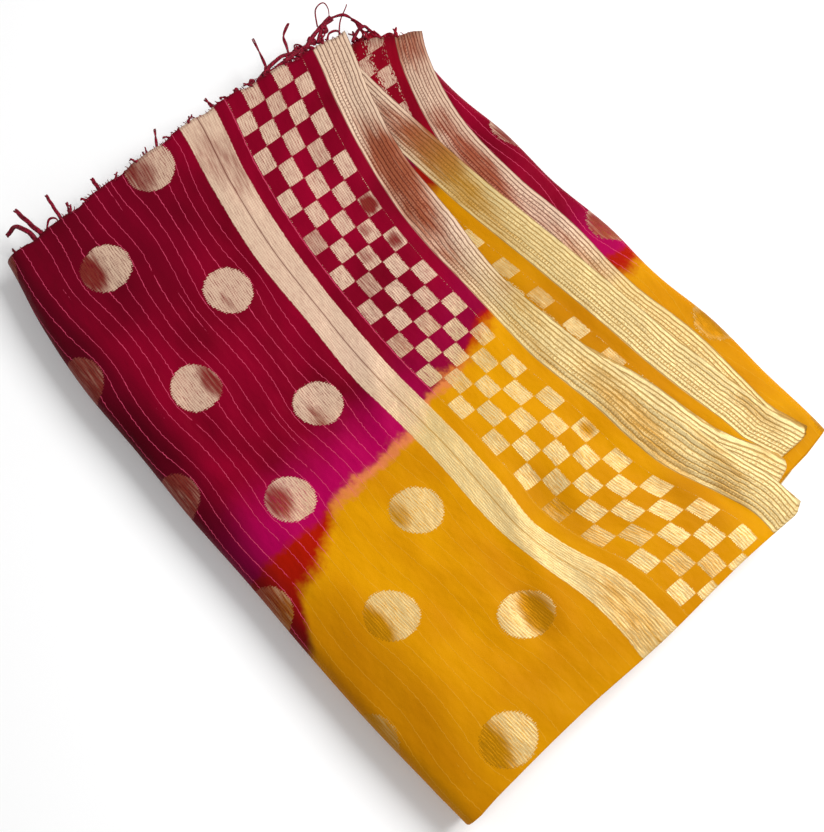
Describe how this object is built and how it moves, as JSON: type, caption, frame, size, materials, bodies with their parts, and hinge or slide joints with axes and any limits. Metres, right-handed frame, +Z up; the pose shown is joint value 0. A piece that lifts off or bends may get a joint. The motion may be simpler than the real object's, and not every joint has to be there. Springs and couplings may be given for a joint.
{
  "type": "folded polka dot dupatta",
  "caption": "Folded scarf-like dupatta in silk, with metallic woven dots, checked selvedge borders and thread fringe at its cut ends.",
  "frame": {"origin": "centre of the packet's bounding box, on the surface that it rests on", "axes": "+X along the packet towards its folded end, the fringed ends at -X; +Y towards the selvedge side; +Z up"},
  "size_m": [0.447, 0.3156, 0.0299],
  "materials": {
    "dyed_silk": "soft silk sheen, tie-dyed crimson to amber, with woven metallic pattern",
    "fringe_thread": "loose twisted thread",
    "fringe_thread_rose": "loose twisted thread"
  },
  "bodies": {
    "root": {"dupatta_cloth": "dyed_silk", "fringe_top_end": "fringe_thread", "fringe_under_end": "fringe_thread_rose"}
  },
  "joints": []
}
